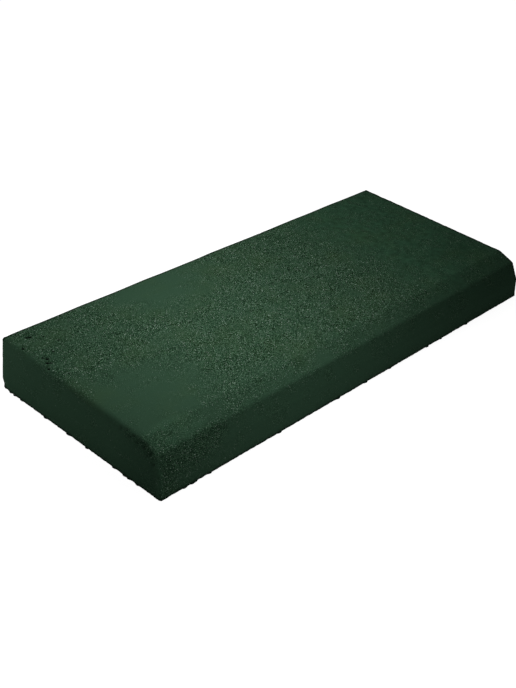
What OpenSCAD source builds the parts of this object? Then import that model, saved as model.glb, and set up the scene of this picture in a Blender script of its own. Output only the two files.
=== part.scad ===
// Cast garden kerb stone, lying on its back with the broad face up.
// X runs along the stone, the crown points to -Y, the foot to +Y, and the floor is Z = 0.

/* [Stone] */
// Length of one stone
stone_length = 500; // [300:10:1000]
// Height of the stone once it is laid, from foot to crown
stone_height = 210; // [150:5:300]
// Thickness at the foot
foot_thickness = 50; // [40:1:80]
// How much thinner the stone is where the bevel starts
face_taper = 5.5; // [0:0.5:8]

/* [Crown] */
// Width of the flat bevel next to the face
bevel_width = 17; // [10:0.5:25]
// Drop of the bevel over that width
bevel_drop = 7.5; // [4:0.5:10]
// Width of the steep nose under the bevel
nose_width = 7.5; // [4:0.5:12]
// Drop of the nose over that width
nose_drop = 17.5; // [8:0.5:20]

/* [Mould draft] */
// Lean of the crown under the nose
crown_draft = 0.8; // [0:0.1:2]
// Lean of the foot over its whole thickness
foot_draft = 1; // [0:0.5:3]
// Lean of each end over the thickness of the foot
end_draft = 2.5; // [0:0.5:5]

/* [Edges] */
// Radius where the face turns down to each end
arris_radius = 3; // [1:0.5:6]
// Radius of the two blunt crown corners, seen from above
corner_radius = 8; // [4:0.5:12]
// How far that round stands clear of the two sides, so it dies out as they lean back
corner_offset = 0.5; // [0.2:0.1:1]

/* [Hidden] */
$fn = 64;
stone_color = [0.18, 0.25, 0.20];

// Heights of the creases across the crown
bevel_top = foot_thickness - face_taper;
nose_top = bevel_top - bevel_drop;
crown_top = nose_top - nose_drop;

// Places of the creases across the stone, from the crown
nose_back = crown_draft + nose_width;
bevel_back = nose_back + bevel_width;
foot_edge = stone_height - foot_draft;

// The face rises from the bevel to the foot
face_slope = atan2(face_taper, foot_edge - bevel_back);
// Depth of the foot's lowest edge under the plane of the face
face_depth = foot_thickness * cos(face_slope) + foot_draft * sin(face_slope);

// How far each of the three blocks runs past the stone
margin = 40;

// Across the stone, as [y, z]: crown, nose, bevel and foot, the last two drawn on past the face
module cross_section() {
  polygon([
    [0, 0],
    [crown_draft, crown_top],
    [nose_back, nose_top],
    [bevel_back + bevel_width, bevel_top + bevel_drop],
    [foot_edge - foot_draft, 2 * foot_thickness],
    [stone_height, 0],
  ]);
}

// Along the stone, as [x, depth]: the face at depth 0, a round arris, and an end that leans out
module long_profile() {
  arris_x = stone_length / 2 - end_draft * (1 - arris_radius / face_depth);
  past_middle = -arris_x - margin;
  run = face_depth + margin;
  for (side = [0, 1])
    mirror([side, 0])
      translate([arris_x, -arris_radius]) {
        translate([-arris_radius, 0])
          circle(arris_radius);
        polygon([
          [0, 0],
          [-arris_radius, arris_radius],
          [past_middle, arris_radius],
          [past_middle, -run],
          [run * end_draft / face_depth, -run],
        ]);
      }
}

// From above, as [x, y]: wider than the stone except at the two crown corners
module plan() {
  half_width = stone_length / 2 + corner_offset;
  inner = half_width - corner_radius;
  corner_y = corner_radius - corner_offset;
  translate([-half_width, corner_y])
    square([2 * half_width, stone_height + margin]);
  translate([-inner, -corner_offset])
    square([2 * inner, stone_height]);
  for (side = [-1, 1])
    translate([side * inner, corner_y])
      circle(corner_radius);
}

// The stone is where its section, its long profile and its plan meet
module kerb_stone() {
  color(stone_color)
    translate([0, -stone_height / 2, 0])
      intersection() {
        rotate([90, 0, 90])
          linear_extrude(stone_length + margin, center = true)
            cross_section();
        translate([0, bevel_back, bevel_top])
          rotate([90 + face_slope, 0, 0])
            linear_extrude(2 * (stone_height + margin), center = true)
              long_profile();
        translate([0, 0, -margin])
          linear_extrude(foot_thickness + 2 * margin)
            plan();
      }
}

kerb_stone();
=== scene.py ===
# %% [markdown]
# A cast concrete kerb stone
#
# The stone is one piece of pigmented concrete, struck from a mould and laid on its back with the broad
# face up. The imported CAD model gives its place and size. This script builds the stone again with the
# roughness that a mould, sand and handling leave on it, and then dresses and lights it.

# %% The frame
import math
import random

import bpy
import numpy as np
from mathutils import Euler, Matrix, Vector


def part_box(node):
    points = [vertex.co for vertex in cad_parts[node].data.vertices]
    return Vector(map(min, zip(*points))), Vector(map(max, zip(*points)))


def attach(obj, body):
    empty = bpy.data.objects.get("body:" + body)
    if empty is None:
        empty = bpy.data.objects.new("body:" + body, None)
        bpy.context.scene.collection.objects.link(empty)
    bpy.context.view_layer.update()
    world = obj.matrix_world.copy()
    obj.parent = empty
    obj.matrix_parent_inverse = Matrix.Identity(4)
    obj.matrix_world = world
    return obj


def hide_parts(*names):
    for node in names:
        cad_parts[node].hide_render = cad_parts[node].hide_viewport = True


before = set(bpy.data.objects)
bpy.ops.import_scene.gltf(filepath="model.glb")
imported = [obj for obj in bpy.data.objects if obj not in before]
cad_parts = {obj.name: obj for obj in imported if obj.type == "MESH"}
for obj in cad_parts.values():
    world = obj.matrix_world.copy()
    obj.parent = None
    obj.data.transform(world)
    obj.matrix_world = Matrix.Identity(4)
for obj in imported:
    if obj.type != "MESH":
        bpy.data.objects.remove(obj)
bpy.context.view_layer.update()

MM = 0.001
low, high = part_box("kerb_stone")
print("CAD box in mm:", [round(v / MM, 1) for v in low], [round(v / MM, 1) for v in high])

# %% [markdown]
# The camera
#
# A camera can be pushed about until the picture looks right, but then its place has no meaning. Here it
# is set by the numbers a photographer would note down: where it stands, which way it looks, how far it
# is tilted to the side, and its lens. A long lens keeps the two ends of the stone nearly the same size.

# %% Camera
IMAGE_WIDTH = 516
FOCAL_PIXELS = 1082.7
VIEW_AZIMUTH = math.radians(-47.674)
VIEW_ELEVATION = math.radians(31.901)
VIEW_ROLL = math.radians(3.643)
CAMERA_PLACE = Vector((-680.98, -588.94, 549.97)) * MM

camera = bpy.data.objects.new("camera", bpy.data.cameras.new("camera"))
bpy.context.scene.collection.objects.link(camera)
camera.data.sensor_fit = "HORIZONTAL"
camera.data.lens = camera.data.sensor_width * FOCAL_PIXELS / IMAGE_WIDTH
look = Euler((math.pi / 2 - VIEW_ELEVATION, 0, VIEW_AZIMUTH)).to_matrix().to_4x4()
camera.matrix_world = Matrix.Translation(CAMERA_PLACE) @ look @ Matrix.Rotation(VIEW_ROLL, 4, "Z")
bpy.context.scene.camera = camera
print("lens in mm:", round(camera.data.lens, 2))

# %% [markdown]
# The rough block
#
# The stone has seven flat sides that all lean a little, because a casting has to slip out of its mould.
# Moving the corners of a cube one by one would do, but the leans are easier to read as saw cuts. So the
# block starts as a cube the size of the CAD box, a little too deep, and each side is cut with bisect.

# %% Block
SPARE_DEPTH = 3 * MM

bpy.ops.object.select_all(action="DESELECT")
size = high - low
bpy.ops.mesh.primitive_cube_add(
    size=1,
    location=(0, (low.y + high.y) / 2, (high.z - SPARE_DEPTH) / 2),
    scale=(size.x, size.y, size.z + SPARE_DEPTH),
)
stone = bpy.context.object
stone.name = stone.data.name = "cast_stone"
bpy.ops.object.transform_apply(location=True, rotation=True, scale=True)
print("cube in mm:", [round(v / MM, 1) for v in stone.dimensions])

# %% [markdown]
# The saw cuts
#
# Seen from the end, the stone's outline runs from the floor up the crown, over the nose and the bevel,
# along the face and down the foot. Each stretch of that outline is one cut through the whole block, and
# one more cut at each end gives the ends their lean. The outline could be drawn and extruded as well,
# but then the ends would stand square. Bisect fills its own cut, so the block stays closed.

# %% Saw cuts
HALF_LENGTH = high.x
FACE_TAPER = 5.5 * MM
BEVEL_WIDTH, BEVEL_DROP = 17 * MM, 7.5 * MM
NOSE_WIDTH, NOSE_DROP = 7.5 * MM, 17.5 * MM
CROWN_DRAFT, FOOT_DRAFT, END_DRAFT = 0.8 * MM, 1 * MM, 2.5 * MM
CUT_THRESHOLD = 1e-6

bevel_top = high.z - FACE_TAPER
nose_top = bevel_top - BEVEL_DROP
crown_top = nose_top - NOSE_DROP
crown_back = low.y + CROWN_DRAFT
nose_back = crown_back + NOSE_WIDTH
bevel_back = nose_back + BEVEL_WIDTH
foot_edge = high.y - FOOT_DRAFT
section = [
    (low.y, low.z),
    (crown_back, crown_top),
    (nose_back, nose_top),
    (bevel_back, bevel_top),
    (foot_edge, high.z),
    (high.y, low.z),
]


def saw(point, outward):
    bpy.ops.mesh.select_all(action="SELECT")
    bpy.ops.mesh.bisect(plane_co=point, plane_no=outward, use_fill=True, clear_outer=True,
                        threshold=CUT_THRESHOLD)


bpy.ops.object.mode_set(mode="EDIT")
for (y0, z0), (y1, z1) in zip(section, section[1:]):
    saw((0, y0, z0), Vector((0, z0 - z1, y1 - y0)).normalized())
for side in (-1, 1):
    saw((side * HALF_LENGTH, 0, low.z), Vector((side * high.z, 0, END_DRAFT)).normalized())
bpy.ops.mesh.normals_make_consistent(inside=False)
bpy.ops.object.mode_set(mode="OBJECT")
print("block:", len(stone.data.polygons), "sides, with the strips below the floor")

# %% [markdown]
# The worn arrises
#
# Where the broad face turns down to an end, the mould and handling leave a soft round, more at the near
# end than at the far one. Each edge could be bevelled by itself, but a Bevel modifier that reads a weight
# on each edge gives all of them in one go. The edges are picked by where they lie.

# %% Arrises
FULL_ROUND = 8 * MM
ROUND_SEGMENTS = 5
# Shares of the full round
NEAR_END_ROUND = 0.7
FAR_END_ROUND = 0.18
NEAR_CORNER_ROUND = 0.3
FAR_CORNER_ROUND = 0.2
CREASE_ROUND = 0.25
FOOT_ROUND = 0.07
SAME_PLACE = 1 * MM
UPRIGHT_RISE = 10 * MM

weights = stone.data.attributes.new("bevel_weight_edge", "FLOAT", "EDGE")
at_end = HALF_LENGTH - 2 * END_DRAFT
for edge in stone.data.edges:
    a, b = (stone.data.vertices[i].co for i in edge.vertices)
    if max(a.z, b.z) < low.z:
        continue
    at_foot = min(a.y, b.y) > foot_edge - SAME_PLACE
    crown_corner = max(a.y, b.y) < nose_back + SAME_PLACE
    share = 0
    if at_foot and abs(a.z - b.z) > UPRIGHT_RISE:
        share = FOOT_ROUND
    elif a.x * b.x < 0:
        share = FOOT_ROUND if a.y > 0 else CREASE_ROUND
    elif max(a.x, b.x) < -at_end:
        share = NEAR_CORNER_ROUND if crown_corner else NEAR_END_ROUND
    elif min(a.x, b.x) > at_end:
        share = FAR_CORNER_ROUND if crown_corner else FAR_END_ROUND
    weights.data[edge.index].value = share


def apply_modifiers(piece):
    bpy.ops.object.select_all(action="DESELECT")
    piece.select_set(True)
    bpy.context.view_layer.objects.active = piece
    for modifier in list(piece.modifiers):
        bpy.ops.object.modifier_apply(modifier=modifier.name)


rounding = stone.modifiers.new("arris rounding", "BEVEL")
rounding.limit_method = "WEIGHT"
rounding.width = FULL_ROUND
rounding.segments = ROUND_SEGMENTS
apply_modifiers(stone)
print("rounded block:", len(stone.data.polygons), "faces")

# %% [markdown]
# A skin fine enough to carry relief
#
# Lumps and pits of a few millimetres need a mesh with squares of about half their width. Subdividing the
# long flat sides would give slivers, so a Remesh modifier lays an even net of squares over the whole
# stone. Its sharp mode keeps the creases and arrises where they are.

# %% Fine skin
SKIN_SPACING = 1.35 * MM
SKIN_DEPTH = 9

skin = stone.modifiers.new("fine skin", "REMESH")
skin.mode = "SHARP"
skin.octree_depth = SKIN_DEPTH
skin.scale = size.x / (SKIN_SPACING * 2 ** SKIN_DEPTH)
apply_modifiers(stone)
print("fine skin:", len(stone.data.polygons), "faces")

# %% [markdown]
# Where each point lies
#
# A casting isn't rough or smooth everywhere alike, and most of it depends on how far a point is from an
# edge. Weights could be painted by hand, but worked out from these distances they stay true when a size
# changes. Relief reads them as vertex groups, and the material reads them as attributes.

# %% Distances
WEIGHT_STEPS = 40

count = len(stone.data.vertices)
place = np.empty(count * 3)
stone.data.vertices.foreach_get("co", place)
x, y, z = place.reshape(-1, 3).T
outline_y = [crown_back, nose_back, bevel_back, foot_edge]
outline_z = [crown_top, nose_top, bevel_top, high.z]
below_face = np.interp(y, outline_y, outline_z) - z
from_end = HALF_LENGTH - END_DRAFT * z / high.z - np.abs(x)
from_crown = y - np.interp(z, (low.z, crown_top, nose_top), (low.y, crown_back, nose_back))
near, far, above_floor = x < 0, x > 0, z > low.z


def weigh(name, values):
    group = stone.vertex_groups.new(name=name)
    level = np.round(np.clip(values, 0, 1) * WEIGHT_STEPS).astype(int)
    for step in range(1, WEIGHT_STEPS + 1):
        group.add([int(i) for i in np.flatnonzero(level == step)], step / WEIGHT_STEPS, "REPLACE")
    print(name, "covers", int((level > 0).sum()), "points")


def keep(name, values):
    kept = stone.data.attributes.new(name, "FLOAT", "POINT")
    kept.data.foreach_set("value", np.clip(values, 0, 1).astype(np.float32))


print("points:", count, "of which", int(above_floor.sum()), "are above the floor")

# %% [markdown]
# The smooth cement film
#
# Against the smooth steel of a mould, cement paste sets as a thin film that hides the sand. It covers the
# ends, the crown and the nose, the far end of the face and a few patches, and it is worn off along the
# nose by the near corner. It could be painted on, but round patches that fade out at their rims are
# enough, and each is one line to move.

# %% Film
PATCH_CORE, PATCH_FADE = 1.45, 0.95
# Middle along and across the stone, reach along and across, all in mm, and the share of film
SMOOTH_PATCHES = [
    (-220, -42, 72, 53, 1),
    (-150, 12, 50, 14, 0.5),
    (-85, 95, 65, 54, 1),
    (-225, 75, 75, 75, 0.4),
    (-195, -87, 55, 11, 0.75),
]
WORN_PATCHES = [
    (-250, -105, 34, 24, 0.48),
    (-208, -99, 34, 6, 0.52),
]
FILM_UNDER_FACE = (2 * MM, 6 * MM)
BEHIND_CREASE = 14 * MM
# At the foot of the nose, at its top, at the crease and behind it
CROWN_FILM = (1.0, 0.85, 0.42, 0.25)
END_SIDE = (0.75 * MM, 3.25 * MM)
END_UNWORN = 0.6


def patch(at_x, at_y, reach_x, reach_y, share):
    away = np.hypot((x / MM - at_x) / reach_x, (y / MM - at_y) / reach_y)
    return share * np.clip(PATCH_CORE - PATCH_FADE * away, 0, 1)


under_face = np.interp(below_face, FILM_UNDER_FACE, (0, 1))
nose_film = np.interp(y, outline_y[:3] + [bevel_back + BEHIND_CREASE], CROWN_FILM)
moulded = np.maximum(under_face, nose_film)
near_end = near * np.interp(from_end, END_SIDE, (1, 0))
worn = np.maximum.reduce([patch(*row) for row in WORN_PATCHES]) * (1 - END_UNWORN * near_end)
smooth = np.maximum.reduce([patch(*row) for row in SMOOTH_PATCHES])
print("smooth patches reach", int((smooth[above_floor] > 0).sum()), "points")

# %% [markdown]
# The film at the two ends
#
# At the far end the film closes over the whole face, and at the near end it only laps over the arris.
# Both follow straight edges, so they are ramps along the stone instead of round patches.

# %% Film at the ends
FAR_FILM, FAR_FILM_SHARE = (60 * MM, 144 * MM), 0.8
ARRIS_FILM = (1.5 * MM, 11.5 * MM)
ARRIS_FILM_ALONG, ARRIS_FILM_SHARE = (-70 * MM, -44.5 * MM), 0.85

far_end = np.interp(x, FAR_FILM, (0, 1))
near_arris = near * np.interp(from_end, ARRIS_FILM, (1, 0))
near_arris = near_arris * np.interp(y, ARRIS_FILM_ALONG, (0, ARRIS_FILM_SHARE))
film = np.maximum.reduce([moulded * (1 - worn), far_end * FAR_FILM_SHARE, near_arris, smooth])
keep("cement_film", film)
keep("face_up", 1 - moulded)
keep("blotched", far_end * (1 - moulded))
print("mean share of film above the floor:", round(float(film[above_floor].mean()), 2))

# %% [markdown]
# The shade of the film
#
# The film isn't one green: it is paler on the bevel by the near corner, and painted light makes the
# upright edge by that corner paler too. Painted shade makes it darker on the end beside that corner and
# by the far end of the crease. A noise texture would put such shades anywhere, so they are kept as an
# attribute. So is a darkening of the lower rim, the foot's edge and the far arris; along the rim it is
# painted shade where the stone meets the floor.

# %% Shades
MIDDLE_SHADE = 0.5
# Paler film on the bevel, painted light on the upright edge by the near corner, painted shade on the end
# and by the crease
PALER_BEVEL = (-222, -86, 27, 10, 1)
LIT_EDGE, LIT_ABOVE = (1.6 * MM, 5.6 * MM), (4 * MM, 14 * MM)
SHADE_END_ALONG, SHADE_END_FROM = (-95 * MM, -50 * MM), (2 * MM, 8 * MM)
SHADE_BY_CREASE = (235, -58, 60, 28, 0.5)
# Painted shade along the lower rim where the stone meets the floor, and darker lines on the foot's edge and
# far arris
DARKENING_REACH = 2.6 * MM
FAR_DARKENING_SPREAD = 0.55

# Painted light on the upright edge by the near corner
lit_upright = near * np.interp(np.hypot(from_end, from_crown), LIT_EDGE, (1, 0))
lit_upright = lit_upright * np.interp(z, LIT_ABOVE, (0, 1))
paler_and_lit = np.maximum(patch(*PALER_BEVEL) * (1 - near_end), lit_upright)
# Painted shade on the end beside the near corner, and by the far end of the crease
painted_shade = near_end * np.interp(y, SHADE_END_ALONG, (1, 0)) * np.interp(from_crown, SHADE_END_FROM, (0, 1))
painted_shade = painted_shade + patch(*SHADE_BY_CREASE)
keep("film_light_and_shade", MIDDLE_SHADE + (paler_and_lit - painted_shade) * MIDDLE_SHADE)

# The darkening below is painted shade along the lower rim, plus darker lines along the foot's edge and the
# far arris
foot_arris = np.hypot(y - foot_edge, z - high.z)
far_arris = np.where(far, np.hypot(from_end, below_face), HALF_LENGTH)
edge_darkening = 1 - np.minimum.reduce([z, foot_arris, far_arris * FAR_DARKENING_SPREAD]) / DARKENING_REACH
for shade_change, amount in (("paler_and_lit", paler_and_lit), ("painted_shade", painted_shade), ("darkened", edge_darkening)):
    print(shade_change + ":", int((amount[above_floor] > 0).sum()), "points")

# %% [markdown]
# Where the relief goes
#
# The lower rim has a ragged flash where concrete crept out of the mould, the arrises crumble, the near
# arris is rolled over, and bare sand stands proud wherever there is no film. Carving each by hand would
# take a day, so each becomes a vertex group, and one modifier per group does the work later on.

# %% Vertex groups
RIM_HEIGHT = 5 * MM
FILM_COVER = 0.95
CRUMBLE_REACH = 9 * MM
FAR_CRUMBLE = 0.3
NEAR_CRUMBLE_ALONG, NEAR_CRUMBLE = (-96 * MM, -52 * MM), (0.7, 0.15)
NOSE_CRUMBLE = (0.2, 0.45)
ROLL_REACH, ROLL_HEIGHT = 26 * MM, 10 * MM
ROLL_STEEPNESS = 3
ROLL_END, ROLL_LEFT = (73 * MM, 93 * MM), 0.2

above_rim = np.interp(z, (low.z, RIM_HEIGHT), (0, 1))
weigh("rim", 1 - above_rim)
weigh("face", above_rim)
weigh("sand", above_rim * (1 - FILM_COVER * film))

arris = 1 - (np.abs(from_end) + np.abs(below_face)) / CRUMBLE_REACH
crumbling = np.where(far, FAR_CRUMBLE, np.interp(y, NEAR_CRUMBLE_ALONG, NEAR_CRUMBLE))
nose_edge = 1 - np.hypot(y - nose_back, z - nose_top) / CRUMBLE_REACH
weigh("arris", np.maximum(arris * crumbling, nose_edge * np.interp(x, (low.x, high.x), NOSE_CRUMBLE)))

roll = np.clip(1 - (x + HALF_LENGTH) / ROLL_REACH, 0, 1) ** ROLL_STEEPNESS
roll = roll * np.clip(1 - below_face / ROLL_HEIGHT, 0, 1)
weigh("rolled", roll * np.interp(y, ROLL_END, (1, ROLL_LEFT)))

# %% [markdown]
# Pits
#
# Air bubbles and lost grains leave pits. They could be punched out with small spheres, but a dip in the
# skin is all that shows, so each pit is a patch of weight that fades out from its middle. Small ones lie
# anywhere on bare sand. Larger ones sit by the near end, where the stone was knocked.

# %% Pits
PIT_SEED = 7
PIT_COUNT = 110
PIT_WIDTHS = (1.5 * MM, 2.4 * MM)
PIT_SPREAD = 0.97
PIT_FILM_LIMIT = 0.3
SPOT_CORE = 1.5
# Place along and across the face, and width, in mm
NEAR_END_PITS = [
    (-230.6, 91.6, 3.4), (-228.2, 90.4, 3.2), (-238.7, 57.9, 2.8), (-236.7, 54.3, 3.6),
    (-240.2, 49.5, 3.2), (-237.8, 47.5, 2.8), (-245.0, 42.5, 3.2), (-246.0, 36.0, 2.8),
    (-211.7, 71.9, 2.8), (-226.0, 60.0, 2.6), (-243.0, 80.0, 2.6), (-219.0, 84.0, 2.6),
]

chance = random.Random(PIT_SEED)
pit_weight = np.zeros(count)


def spot(weight, centre, width):
    away = np.sqrt(sum((axis - middle) ** 2 for axis, middle in zip((x, y, z), centre)))
    weight[:] = np.maximum(weight, np.clip(SPOT_CORE - 2 * away / width, 0, 1))


def face_height(at_y):
    return float(np.interp(at_y, outline_y, outline_z))


for number in range(PIT_COUNT):
    at_x = chance.uniform(-PIT_SPREAD, PIT_SPREAD) * HALF_LENGTH
    at_y = chance.uniform(nose_back, foot_edge)
    spot(pit_weight, (at_x, at_y, face_height(at_y)), chance.uniform(*PIT_WIDTHS))
pit_weight[film > PIT_FILM_LIMIT] = 0
for at_x, at_y, width in NEAR_END_PITS:
    spot(pit_weight, (at_x * MM, at_y * MM, face_height(at_y * MM)), width * MM)
print("pits on the face:", int((pit_weight > 0).sum()), "points")

# %% [markdown]
# The broken arris
#
# By the near corner the arris under the face has lost small bits. Each could be cut away with a boolean,
# but they are even shallower than the pits, so they are made in the same way, on the end just below the
# face.

# %% Broken arris
# Place across, depth below the face, and width, in mm
BROKEN_ARRIS_PITS = [
    (-55, 4.0, 2.4), (-61, 2.5, 3.0), (-66, 5.5, 2.6), (-70, 3.0, 2.8), (-75, 6.5, 3.0),
    (-78, 3.5, 2.6), (-83, 5.0, 3.2), (-87, 8.5, 2.6), (-90, 4.5, 2.8), (-95, 9.0, 3.0),
]
BROKEN_ARRIS_DEPTH = 0.6

broken_weight = np.zeros(count)
for at_y, below, width in BROKEN_ARRIS_PITS:
    at_z = face_height(at_y * MM) - below * MM
    spot(broken_weight, (END_DRAFT * at_z / high.z - HALF_LENGTH, at_y * MM, at_z), width * MM)
pit_weight = np.maximum(pit_weight, BROKEN_ARRIS_DEPTH * broken_weight)
weigh("pits", pit_weight)
# The pit weight also darkens the colour, as painted shade in the pits
keep("pit", pit_weight)

# %% [markdown]
# Nubs on the rim
#
# Here and there a lump of mortar stuck out under the mould and stayed on the lower rim. Little balls could
# be joined on, but they would need a clean joint. So nubs are patches of weight as well, set at random
# places along the four sides. They push outwards, and the rim's painted shade darkens them too.

# %% Nubs
NUBS_PER_SIDE = 11
NUB_WIDTHS = (3 * MM, 5 * MM)

nub_weight = np.zeros(count)
for number in range(NUBS_PER_SIDE):
    along = chance.uniform(low.x, high.x)
    across = chance.uniform(low.y, high.y)
    for at_x, at_y in ((along, low.y), (-along, high.y), (low.x, across), (high.x, -across)):
        spot(nub_weight, (at_x, at_y, low.z), chance.uniform(*NUB_WIDTHS))
weigh("nubs", nub_weight)
# Painted shade on the rim and the nubs, with the darker lines on the foot's edge and the far arris
keep("dark_edge", np.maximum(edge_darkening, nub_weight))

# %% [markdown]
# The chipped corner
#
# The lower corner at the back of the near end has lost its tip. A boolean with a small block would cut it
# too cleanly, so this is one more patch of weight, wider than a pit, that pushes inwards.

# %% Chip
CHIP_WIDTH = 12 * MM

chip_weight = np.zeros(count)
spot(chip_weight, (low.x, high.y, low.z), CHIP_WIDTH)
weigh("chip", chip_weight)

# %% [markdown]
# Relief
#
# Displace modifiers push the skin in and out along its normal. A cloud texture sets the size of the
# bumps in real millimetres, and a vertex group says where they go. Pits, nubs, the chip and the rolled
# arris need no texture, because their weights already have the shape.

# %% Relief


def relief(name, bump_size, strength, group, middle=0.5, depth=1):
    push = stone.modifiers.new(name, "DISPLACE")
    if bump_size:
        push.texture = bpy.data.textures.new(name, "CLOUDS")
        push.texture.noise_scale = bump_size
        push.texture.noise_depth = depth
        push.texture_coords = "LOCAL"
    push.strength = strength
    push.mid_level = middle
    push.vertex_group = group


relief("uneven face", 40 * MM, 0.8 * MM, "face")
relief("sand grains", 2.4 * MM, 0.17 * MM, "sand")
relief("crumbled arris", 5 * MM, 2.4 * MM, "arris", middle=0.65, depth=2)
relief("flash on the rim", 3 * MM, 1.1 * MM, "rim", middle=0.15, depth=2)
relief("nubs", 0, 1 * MM, "nubs", middle=0)
relief("chipped corner", 0, -1.4 * MM, "chip", middle=0)
relief("rolled arris", 0, -1.2 * MM, "rolled", middle=0)
relief("pits", 0, -1.8 * MM, "pits", middle=0)
apply_modifiers(stone)
print("relief pushed into", len(stone.data.vertices), "points")

# %% [markdown]
# The flat underside
#
# The block was made too deep on purpose. Flattening the lowest points would leave thousands of squares
# that nobody sees. One more cut at floor level gives a flat back to lie on and a sharp lower rim, and takes
# away more than a third of the mesh.

# %% Underside
bpy.ops.object.mode_set(mode="EDIT")
saw((0, 0, low.z), (0, 0, -1))
bpy.ops.object.mode_set(mode="OBJECT")
stone.vertex_groups.clear()
bpy.ops.object.shade_smooth()
triangles = sum(len(face.vertices) - 2 for face in stone.data.polygons)
print("stone:", triangles, "triangles")

# %% [markdown]
# Colours and nodes
#
# A colour is easiest to read as the hex value that a paint program shows, but a shader reckons in linear
# light, so one function turns the one into the other. A second function adds a node with its settings
# and links, which keeps a long chain of nodes as short as a list.

# %% Colours and nodes
# Places of a Mix node's two colours among its inputs, and of the mixed colour among its outputs
MIX_A, MIX_B, MIXED = 6, 7, 2


def linear(hex_colour):
    parts = [int(hex_colour[i:i + 2], 16) / 255 for i in (1, 3, 5)]
    return [p / 12.92 if p <= 0.04045 else ((p + 0.055) / 1.055) ** 2.4 for p in parts] + [1]


def add(tree, kind, links, **settings):
    made = tree.nodes.new("ShaderNode" + kind)
    for name, value in settings.items():
        setattr(made, name, value)
    for socket, value in links.items():
        if isinstance(value, bpy.types.NodeSocket):
            tree.links.new(value, made.inputs[socket])
        else:
            made.inputs[socket].default_value = value
    return made


print("#808080 in linear light:", round(linear("#808080")[0], 3))

# %% [markdown]
# Green concrete: sand grains
#
# The real material is fine concrete, coloured all through with green pigment and struck from a smooth
# mould. Close up, each sand grain catches the light on its top, a few grains are pale quartz, and the
# pores between them lie nearly black in shade. The light on the tops and the shade in the pores are
# painted into the colour. A Voronoi texture has just that make-up: a cell for each grain, and a distance
# that runs from its middle to the seams. A noise texture would only give soft spots.

# %% Sand grains
# Real sand of 0.2 to 0.4 mm would blur to one shade in the render, so it is drawn this coarse to show
SAND_GRAIN = 0.7 * MM
# From painted light on the top of a grain to painted shade in the pore between grains, in grain widths
GRAIN_STOPS = [
    (0.0, "#a2bca8"),
    (0.2, "#658a6e"),
    (0.35, "#325138"),
    (0.5, "#132a19"),
    (0.65, "#07180c"),
    (1.0, "#030d07"),
]
PALE_GRAIN = "#dcf0e2"
PALE_GRAIN_SHARE = 0.12
PALE_GRAIN_RIM, PALE_GRAIN_CORE = 0.45, 0.2

# Struck concrete is matt: a soft, even green under the film, and salt and pepper where sand shows
concrete = bpy.data.materials.new("green_pigmented_concrete")
concrete.use_nodes = True
tree = concrete.node_tree
shader = tree.nodes["Principled BSDF"]
object_space = add(tree, "TexCoord", {}).outputs["Object"]
grains = add(tree, "TexVoronoi", {"Vector": object_space, "Scale": 1 / SAND_GRAIN})
# Painted light on the grain tops and painted shade in the pores
grain_light_and_shade = add(tree, "ValToRGB", {"Fac": grains.outputs["Distance"]})
draws = add(tree, "SeparateColor", {"Color": grains.outputs["Color"]})
pale = add(tree, "MapRange", {"Value": draws.outputs["Red"], "From Min": 1 - PALE_GRAIN_SHARE})
core = add(tree, "MapRange", {
    "Value": grains.outputs["Distance"], "From Min": PALE_GRAIN_RIM, "From Max": PALE_GRAIN_CORE,
})
pale_core = add(tree, "Math", {0: pale.outputs[0], 1: core.outputs[0]}, operation="MULTIPLY")
sanded = add(tree, "Mix", {
    "Factor": pale_core.outputs[0], MIX_A: grain_light_and_shade.outputs["Color"], MIX_B: linear(PALE_GRAIN),
}, data_type="RGBA")
print("sand grains of", round(SAND_GRAIN / MM, 2), "mm,", round(100 * PALE_GRAIN_SHARE), "% of them pale")

# %% [markdown]
# Green concrete: where the film lies
#
# The film lies over the sand wherever the attribute says, but not with a clean rim: it breaks up in
# flecks of a centimetre or two. So a noise texture is added to the attribute, and only what passes a
# threshold is film.

# %% Film over the sand
FILM_FLECK = 16 * MM
FLECK_WEIGHT = 1.2
FILM_STARTS, FILM_CLOSED = 0.75, 1.6
FILM_HIDES = 0.95

shares = {}
for name in ("cement_film", "film_light_and_shade", "blotched", "face_up", "pit", "dark_edge"):
    shares[name] = add(tree, "Attribute", {}, attribute_name=name).outputs["Fac"]
flecks = add(tree, "TexNoise", {"Vector": object_space, "Scale": 1 / FILM_FLECK, "Detail": 3.0})
flecked = add(tree, "Math", {
    0: flecks.outputs["Fac"], 1: FLECK_WEIGHT, 2: shares["cement_film"],
}, operation="MULTIPLY_ADD")
film_here = add(tree, "MapRange", {
    "Value": flecked.outputs[0], "From Min": FILM_STARTS, "From Max": FILM_CLOSED, "To Max": FILM_HIDES,
})
print("attributes read:", len(shares), "film flecks of", round(FILM_FLECK / MM), "mm")

# %% [markdown]
# Green concrete: the greens of the film
#
# At the near end the film is an even green that follows the attribute of painted light and shade, from
# painted shade to the paler green. Towards the far end it is blotched in two greens, where the paste dried
# unevenly, and painted shade darkens the blotches by the crease. One noise over the whole film would be
# simpler, but it would spoil the even part.

# %% Greens of the film
BLOTCH = 6 * MM
BLOTCH_LOW, BLOTCH_HIGH = 0.3, 0.7
BLOTCH_DARK, BLOTCH_PALE = "#1b3424", "#30533d"
# From painted shade, through the even green, to the paler green and the painted light
FILM_STOPS = [(0.0, "#263d2e"), (MIDDLE_SHADE, "#2d4635"), (1.0, "#365440")]

blotches = add(tree, "TexNoise", {"Vector": object_space, "Scale": 1 / BLOTCH, "Detail": 4.0})
blotch = add(tree, "MapRange", {
    "Value": blotches.outputs["Fac"], "From Min": BLOTCH_LOW, "From Max": BLOTCH_HIGH,
})
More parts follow.
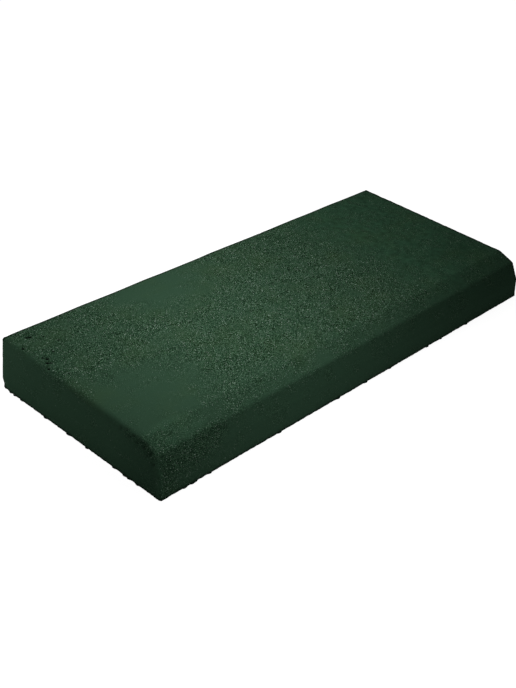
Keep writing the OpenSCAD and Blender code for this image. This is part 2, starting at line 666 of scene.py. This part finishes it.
# Painted shade by the far end of the crease darkens the blotches
painted_shading = add(tree, "Math", {0: shares["film_light_and_shade"], 1: 1 / MIDDLE_SHADE}, operation="MULTIPLY")
far_shade = add(tree, "Math", {0: blotch.outputs[0], 1: painted_shading.outputs[0]}, operation="MULTIPLY")
far_film = add(tree, "Mix", {
    "Factor": far_shade.outputs[0], MIX_A: linear(BLOTCH_DARK), MIX_B: linear(BLOTCH_PALE),
}, data_type="RGBA")
near_film = add(tree, "ValToRGB", {"Fac": shares["film_light_and_shade"]})
film_green = add(tree, "Mix", {
    "Factor": shares["blotched"], MIX_A: near_film.outputs["Color"], MIX_B: far_film.outputs[MIXED],
}, data_type="RGBA")
filmed = add(tree, "Mix", {
    "Factor": film_here.outputs[0], MIX_A: sanded.outputs[MIXED], MIX_B: film_green.outputs[MIXED],
}, data_type="RGBA")

for ramp, stops in ((grain_light_and_shade, GRAIN_STOPS), (near_film, FILM_STOPS)):
    elements = ramp.color_ramp.elements
    while len(elements) < len(stops):
        elements.new(1)
    for element, (position, hex_colour) in zip(elements, stops):
        element.position = position
        element.color = linear(hex_colour)
    print("ramp with", len(elements), "stops")

# %% [markdown]
# Green concrete: painted glints
#
# Now and then a grain glints in the light, and these glints are painted into the colour as highlights.
# Separate little stones would cost too much mesh, so a second, wider Voronoi texture picks some of its
# cells and marks a dot in the middle of each. Under the film hardly any show.

# %% Painted glints
BRIGHT_SPACING = 9 * MM
# A painted glint of half a millimetre would be lost in the render, so it is drawn this coarse to show
BRIGHT_WIDTH = 1.1 * MM
BRIGHT_SHARE = 0.4
BRIGHT_ON_SAND, BRIGHT_ON_FILM = 0.9, 0.08

cells = add(tree, "TexVoronoi", {"Vector": object_space, "Scale": 1 / BRIGHT_SPACING})
lots = add(tree, "SeparateColor", {"Color": cells.outputs["Color"]})
picked = add(tree, "Math", {0: lots.outputs["Green"], 1: BRIGHT_SHARE}, operation="LESS_THAN")
inside = add(tree, "Math", {
    0: cells.outputs["Distance"], 1: BRIGHT_WIDTH / 2 / BRIGHT_SPACING,
}, operation="LESS_THAN")
dot = add(tree, "Math", {0: picked.outputs[0], 1: inside.outputs[0]}, operation="MULTIPLY")
bare = add(tree, "MapRange", {
    "Value": film_here.outputs[0], "To Min": BRIGHT_ON_SAND, "To Max": BRIGHT_ON_FILM,
})
# A dot of painted glint in each picked cell, fewer under the film
bright = add(tree, "Math", {0: dot.outputs[0], 1: bare.outputs[0]}, operation="MULTIPLY")
print("bright grains about", round(BRIGHT_SPACING / MM), "mm apart,", round(100 * BRIGHT_SHARE), "% lit")

# %% [markdown]
# Green concrete: the layers on top
#
# The pigment is a little more olive in broad patches, pits are painted nearly black as shade, painted
# shade darkens the rim where it meets the floor, along with the foot's edge and the far arris, and painted
# glints come last. Each layer is a colour and a share, so one loop mixes them over one another in that
# order.

# %% Layers
TINT_PATCH = 45 * MM
TINT_LOW, TINT_HIGH, TINT_STRENGTH = 0.48, 0.7, 0.25
PIT_LOW, PIT_HIGH = 0.35, 0.7
OLIVE, PIT_SHADE, EDGE_DARK_COLOUR, GLINT_COLOUR = "#364b2c", "#050b07", "#0a120d", "#96ab9c"

clouds = add(tree, "TexNoise", {
    "Vector": object_space, "Scale": 1 / TINT_PATCH, "Detail": 3.0, "Roughness": 0.6,
})
tint = add(tree, "MapRange", {
    "Value": clouds.outputs["Fac"], "From Min": TINT_LOW, "From Max": TINT_HIGH, "To Max": TINT_STRENGTH,
})
tint_here = add(tree, "Math", {0: tint.outputs[0], 1: shares["face_up"]}, operation="MULTIPLY")
# Painted shade in the pits, from their weight
pit_shade = add(tree, "MapRange", {"Value": shares["pit"], "From Min": PIT_LOW, "From Max": PIT_HIGH})

colour = filmed.outputs[MIXED]
for share, over in (
    (tint_here.outputs[0], OLIVE),
    # Painted shade in the pits
    (pit_shade.outputs[0], PIT_SHADE),
    # Painted shade along the rim and the nubs, and darker lines on the foot's edge and the far arris
    (shares["dark_edge"], EDGE_DARK_COLOUR),
    # Painted glints on bare sand
    (bright.outputs[0], GLINT_COLOUR),
):
    layer = {"Factor": share, MIX_A: colour, MIX_B: linear(over)}
    colour = add(tree, "Mix", layer, data_type="RGBA").outputs[MIXED]
tree.links.new(colour, shader.inputs["Base Color"])
print("colour:", len(tree.nodes), "nodes")

# %% [markdown]
# Green concrete: the touch of it
#
# Sand finer than the mesh is left to bump, strong on bare sand and faint under the film. Dry concrete has
# hardly any sheen. At the usual specular level the white room around it would veil the dark green in grey,
# so the level is close to nothing.

# %% Finish of the concrete
# A little coarser than the sand, so that it shows
FINE_SAND = 0.9 * MM
BUMP_HEIGHT = 0.8 * MM
BUMP_ON_SAND, BUMP_ON_FILM = 0.5, 0.1
CONCRETE_ROUGHNESS = 0.9
CONCRETE_SHEEN = 0.02

sand = add(tree, "TexNoise", {"Vector": object_space, "Scale": 1 / FINE_SAND, "Detail": 2.0})
strength = add(tree, "MapRange", {
    "Value": film_here.outputs[0], "To Min": BUMP_ON_SAND, "To Max": BUMP_ON_FILM,
})
bump = add(tree, "Bump", {
    "Height": sand.outputs["Fac"], "Strength": strength.outputs[0], "Distance": BUMP_HEIGHT,
})
tree.links.new(bump.outputs["Normal"], shader.inputs["Normal"])
shader.inputs["Roughness"].default_value = CONCRETE_ROUGHNESS
shader.inputs["Specular IOR Level"].default_value = CONCRETE_SHEEN

stone.data.materials.clear()
stone.data.materials.append(concrete)
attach(stone, "root")
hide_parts("kerb_stone")
print("material:", len(tree.nodes), "nodes")

# %% [markdown]
# The floor
#
# The stone lies on a sheet of paper that is wide enough to have no edge in any view.

# %% Floor
# In metres
FLOOR_REACH = 6

bpy.ops.object.select_all(action="DESELECT")
bpy.ops.mesh.primitive_plane_add(size=2 * FLOOR_REACH)
floor = bpy.context.object
floor.name = floor.data.name = "floor"
print("floor:", 2 * FLOOR_REACH, "m wide")

# %% [markdown]
# White paper
#
# Lit paper would be grey in places. More light would whiten it, but it would bleach the stone too. So to
# the camera the paper also glows a little, up to white away from the stone, and keeps the stone's own
# shadow. To all other rays it is plain matt paper that throws light back at the sides of the stone.

# %% Paper
PAPER, PAPER_IN_VIEW, WHITE = "#d8d8d8", "#8c8c8c", "#ffffff"
# In metres from the middle of the stone
GLOW_FROM, GLOW_TO = 0.2, 0.45
GLOW_BY_STONE, GLOW_AWAY = 0.94, 1.0

# Matt paper gives the eye a white with no sheen and a soft shadow
paper = bpy.data.materials.new("matt_white_paper")
paper.use_nodes = True
tree = paper.node_tree
tree.nodes.remove(tree.nodes["Principled BSDF"])
rays = add(tree, "LightPath", {}).outputs
direct = add(tree, "Math", {0: rays["Is Camera Ray"], 1: rays["Is Glossy Ray"]}, operation="MAXIMUM")
seen = add(tree, "Math", {0: direct.outputs[0], 1: rays["Is Transmission Ray"]}, operation="MAXIMUM")
matt = add(tree, "BsdfDiffuse", {"Color": linear(PAPER)})
shadowed = add(tree, "BsdfDiffuse", {"Color": linear(PAPER_IN_VIEW)})
floor_space = add(tree, "TexCoord", {}).outputs["Object"]
from_stone = add(tree, "VectorMath", {0: floor_space}, operation="LENGTH")
level = add(tree, "MapRange", {
    "Value": from_stone.outputs["Value"], "From Min": GLOW_FROM, "From Max": GLOW_TO,
    "To Min": GLOW_BY_STONE, "To Max": GLOW_AWAY,
}, interpolation_type="SMOOTHSTEP")
glow = add(tree, "Emission", {"Color": linear(WHITE), "Strength": level.outputs[0]})
lit = add(tree, "AddShader", {0: shadowed.outputs[0], 1: glow.outputs[0]})
both = add(tree, "MixShader", {0: seen.outputs[0], 1: matt.outputs[0], 2: lit.outputs[0]})
tree.links.new(both.outputs[0], tree.nodes["Material Output"].inputs["Surface"])
floor.data.materials.append(paper)
print("paper:", len(tree.nodes), "nodes")

# %% [markdown]
# The room
#
# A studio has pale walls that fill the shadows a little. Walls could be built, but the world can stand in
# for them: it is faint as a light, and plain white to the camera, so that the picture has no horizon.

# %% Room
ROOM_LEVEL = 0.08
WHITE_LEVEL = 1.0

world = bpy.data.worlds.new("studio")
bpy.context.scene.world = world
world.use_nodes = True
tree = world.node_tree
rays = add(tree, "LightPath", {}).outputs
room = tree.nodes["Background"]
room.inputs["Color"].default_value = linear(WHITE)
room.inputs["Strength"].default_value = ROOM_LEVEL
backdrop = add(tree, "Background", {"Color": linear(WHITE), "Strength": WHITE_LEVEL})
direct = add(tree, "Math", {0: rays["Is Camera Ray"], 1: rays["Is Glossy Ray"]}, operation="MAXIMUM")
seen = add(tree, "Math", {0: direct.outputs[0], 1: rays["Is Transmission Ray"]}, operation="MAXIMUM")
both = add(tree, "MixShader", {0: seen.outputs[0], 1: room.outputs[0], 2: backdrop.outputs[0]})
tree.links.new(both.outputs[0], tree.nodes["World Output"].inputs["Surface"])
print("room:", ROOM_LEVEL, "as a light")

# %% [markdown]
# The lamps
#
# One soft lamp hangs close over the near half of the stone, so that the light falls off towards the far
# end. A second carries on along the back, a third lights the crown and a fourth the near end. One large
# lamp would be simpler, but it would light the whole face alike.

# %% Lamps
# Name, place and aim in metres, width in metres, and power in watts
LAMPS = [
    ("overhead lamp", (-0.1, -0.03, 0.27), (-0.1, -0.03, 0.0), 0.15, 0.47),
    ("back lamp", (0.065, 0.2, 0.36), (0.065, 0.1, 0.0), 0.2, 0.59),
    ("front lamp", (-0.12, -0.36, 0.1), (-0.12, -0.1, 0.03), 0.15, 0.15),
    ("side lamp", (-0.45, 0.28, 0.25), (-0.25, 0.08, 0.03), 0.2, 0.52),
]

for name, stand, aim, width, power in LAMPS:
    light = bpy.data.lights.new(name, "AREA")
    light.size = width
    light.energy = power
    lamp = bpy.data.objects.new(name, light)
    bpy.context.scene.collection.objects.link(lamp)
    lamp.location = stand
    lamp.rotation_euler = (Vector(aim) - Vector(stand)).to_track_quat("-Z", "Y").to_euler()
    lamp.visible_camera = False
bpy.context.scene.view_settings.view_transform = "Standard"
print("lamps:", len(LAMPS))
